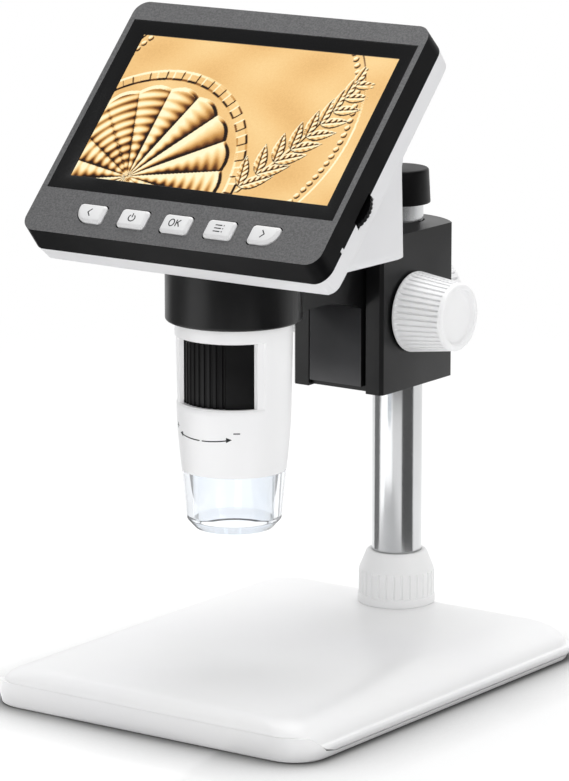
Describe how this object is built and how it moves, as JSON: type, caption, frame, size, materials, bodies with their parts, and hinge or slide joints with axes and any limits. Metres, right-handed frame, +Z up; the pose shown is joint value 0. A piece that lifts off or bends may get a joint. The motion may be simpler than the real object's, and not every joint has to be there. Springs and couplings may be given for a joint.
{
  "type": "digital microscope",
  "caption": "Desk digital microscope: tilted screen with buttons over a barrel with a clear light hood, held by a ring on a rack-focused carriage clamped to a column on a flat base.",
  "frame": {"origin": "point on the floor under the centre of the base", "axes": "+X to the user's right, +Y from the user towards the column, +Z up"},
  "size_m": [0.121, 0.1564, 0.2098],
  "materials": {
    "base_white": "glossy moulded",
    "feet_rubber": "matt",
    "screw_steel": "zinc plated",
    "ballast_steel": "plain rolled",
    "column_steel": "drawn and polished",
    "stand_white": "semi-gloss moulded",
    "cap_black": "satin",
    "bush_bronze": "machined",
    "stand_black": "black satin coat",
    "bezel_grey": "fine grain",
    "mask_black": "gloss",
    "panel_glass": "lit display",
    "board_green": "solder mask",
    "cell_silver": "foil",
    "shell_white": "satin moulded",
    "socket_steel": "stamped",
    "inner_black": "matt",
    "barrel_white": "semi-gloss moulded",
    "led_yellow": "phosphor",
    "hood_clear": "clear moulded",
    "lens_glass": "polished",
    "wheel_black": "semi-gloss moulded",
    "button_white": "satin"
  },
  "bodies": {
    "base": {"base_shell": "base_white", "base_tray": "base_white", "ballast_plate": "ballast_steel", "base_feet": "feet_rubber", "base_screws": "screw_steel", "column": "column_steel", "column_plug": "ballast_steel", "column_bolt": "screw_steel", "column_collar": "stand_white", "column_cap": "cap_black"},
    "bush": {"clamp_bush": "bush_bronze"},
    "carriage": {"carriage_block": "stand_black", "bush_ring": "inner_black", "channel_stop": "screw_steel"},
    "lock_knob": {"lock_knob": "stand_white", "lock_stud": "screw_steel"},
    "lock_shoe": {"lock_shoe": "bush_bronze"},
    "slide": {"holder_arm": "stand_black", "focus_rack": "bush_bronze"},
    "focus_drive": {"focus_shaft": "screw_steel", "focus_pinion": "bush_bronze", "focus_knob_right": "stand_white", "focus_knob_left": "stand_white"},
    "head": {"bezel": "bezel_grey", "lcd_mask": "mask_black", "lcd_panel": "panel_glass", "main_board": "board_green", "button_board": "board_green", "battery": "cell_silver", "rear_shell": "shell_white", "usb_socket": "socket_steel", "card_socket": "socket_steel", "dimmer_pot": "inner_black", "housing_screws": "screw_steel", "barrel_body": "barrel_white", "wheel_retainer": "inner_black", "camera_board": "board_green", "image_sensor": "inner_black", "led_board": "board_green", "led_chips": "led_yellow", "hood": "hood_clear"},
    "focus_wheel": {"focus_wheel": "wheel_black"},
    "lens_carrier": {"lens_carrier": "inner_black", "front_lens": "lens_glass", "rear_lens": "lens_glass"},
    "dimmer_wheel": {"dimmer_wheel": "cap_black"},
    "button_left": {"button_left": "button_white"},
    "button_power": {"button_power": "button_white"},
    "button_ok": {"button_ok": "button_white"},
    "button_menu": {"button_menu": "button_white"},
    "button_right": {"button_right": "button_white"}
  },
  "joints": [
    {"name": "carriage_height", "type": "slide", "parent": "base", "child": "bush", "axis": [0, 0, 1], "range_m": [-0.04, 0.005]},
    {"name": "carriage_swing", "type": "hinge", "parent": "bush", "child": "carriage", "pos_m": [0, 0.0594, 0.112], "axis": [0, 0, 1], "continuous": true},
    {"name": "lock_turn", "type": "hinge", "parent": "carriage", "child": "lock_knob", "pos_m": [0, 0.0726, 0.1114], "axis": [0, 1, 0], "range_deg": [0, 350]},
    {"name": "shoe_slide", "type": "slide", "parent": "carriage", "child": "lock_shoe", "axis": [0, 1, 0], "range_m": [0, 0.001]},
    {"name": "focus_turn", "type": "hinge", "parent": "carriage", "child": "focus_drive", "pos_m": [0, 0.0424, 0.1124], "axis": [-1, 0, 0], "range_deg": [0, 214.8]},
    {"name": "focus_lift", "type": "slide", "parent": "carriage", "child": "slide", "axis": [0, 0, 1], "range_m": [0, 0.018]},
    {"name": "head_swivel", "type": "hinge", "parent": "slide", "child": "head", "pos_m": [0, -0.0295, 0.13], "axis": [0, 0, 1], "range_deg": [-90, 90]},
    {"name": "wheel_turn", "type": "hinge", "parent": "head", "child": "focus_wheel", "pos_m": [0, -0.0295, 0.1048], "axis": [0, 0, 1], "range_deg": [-115, 115]},
    {"name": "lens_lift", "type": "slide", "parent": "head", "child": "lens_carrier", "axis": [0, 0, 1], "range_m": [-0.003, 0.003]},
    {"name": "dimmer_turn", "type": "hinge", "parent": "head", "child": "dimmer_wheel", "pos_m": [0.0472, -0.03973, 0.1595], "axis": [0, -0.7218, 0.6921], "range_deg": [-135, 135]},
    {"name": "button_left_press", "type": "slide", "parent": "head", "child": "button_left", "axis": [0, 0.7218, -0.6921], "range_m": [0, 0.0006], "stiffness_N_per_m": 1000},
    {"name": "button_power_press", "type": "slide", "parent": "head", "child": "button_power", "axis": [0, 0.7218, -0.6921], "range_m": [0, 0.0006], "stiffness_N_per_m": 1000},
    {"name": "button_ok_press", "type": "slide", "parent": "head", "child": "button_ok", "axis": [0, 0.7218, -0.6921], "range_m": [0, 0.0006], "stiffness_N_per_m": 1000},
    {"name": "button_menu_press", "type": "slide", "parent": "head", "child": "button_menu", "axis": [0, 0.7218, -0.6921], "range_m": [0, 0.0006], "stiffness_N_per_m": 1000},
    {"name": "button_right_press", "type": "slide", "parent": "head", "child": "button_right", "axis": [0, 0.7218, -0.6921], "range_m": [0, 0.0006], "stiffness_N_per_m": 1000}
  ],
  "couplings": [
    {"joint": "focus_lift", "follows": "focus_turn", "m_per_rad": 0.0048},
    {"joint": "shoe_slide", "follows": "lock_turn", "m_per_rad": 0.00015915},
    {"joint": "lens_lift", "follows": "wheel_turn", "m_per_rad": 0.00149}
  ]
}
